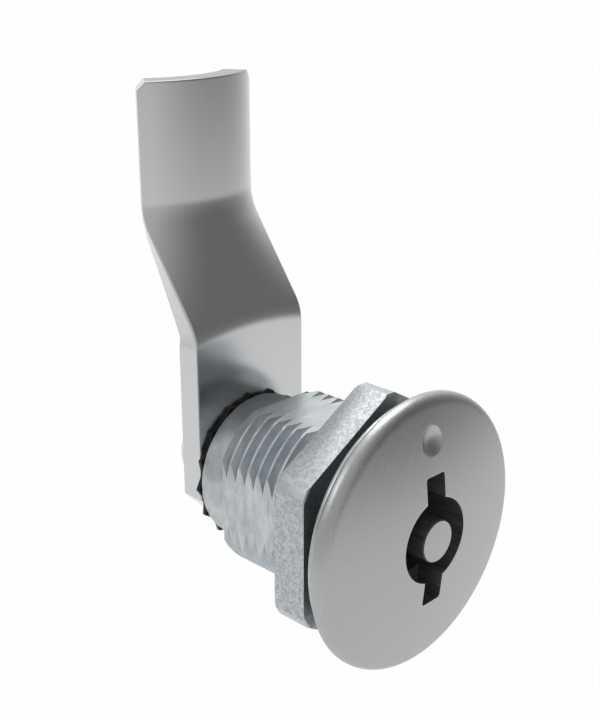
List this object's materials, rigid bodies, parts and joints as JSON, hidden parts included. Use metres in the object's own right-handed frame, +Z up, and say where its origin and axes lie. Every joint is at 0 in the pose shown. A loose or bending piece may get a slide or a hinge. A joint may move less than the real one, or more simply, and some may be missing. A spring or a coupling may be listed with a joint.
{
  "type": "quarter-turn cam latch",
  "caption": "Quarter-turn cam latch with a domed round head, double-bit keyhole, threaded housing, hexagon nut and a cranked cam.",
  "frame": {"origin": "middle of the flange's back face, which lies on the outside of the panel", "axes": "+X to the right, +Y along the lock axis into the cabinet, +Z up; the head faces -Y and the cam points up"},
  "size_m": [0.032, 0.0406, 0.0623],
  "materials": {
    "head_zinc": "satin nickel-plated zinc, bead-blasted",
    "housing_zinc": "bare zinc die casting, softly mottled",
    "nut_steel": "galvanised, speckled",
    "cam_steel": "zinc-plated, satin",
    "washer_black": "black oxide",
    "screw_steel": "zinc-plated",
    "spring_steel": "bright spring steel",
    "seal_rubber": "matt black rubber",
    "glide_plastic": "matt natural plastic"
  },
  "bodies": {
    "fixed": {"housing": "housing_zinc", "mounting_nut": "nut_steel", "panel_seal": "seal_rubber", "head_seal": "seal_rubber", "glide_washer": "glide_plastic", "wave_spring": "spring_steel"},
    "rotor": {"actuator": "head_zinc", "centre_pin": "head_zinc", "shaft_seal_front": "seal_rubber", "shaft_seal_rear": "seal_rubber", "stop_collar": "housing_zinc", "tooth_washer": "washer_black", "cam": "cam_steel", "flat_washer": "screw_steel", "spring_washer": "screw_steel", "cam_screw": "screw_steel"}
  },
  "joints": [
    {"name": "key_turn", "type": "hinge", "parent": "fixed", "child": "rotor", "pos_m": [0, 0, 0], "axis": [0, 1, 0], "range_deg": [0, 90]}
  ]
}
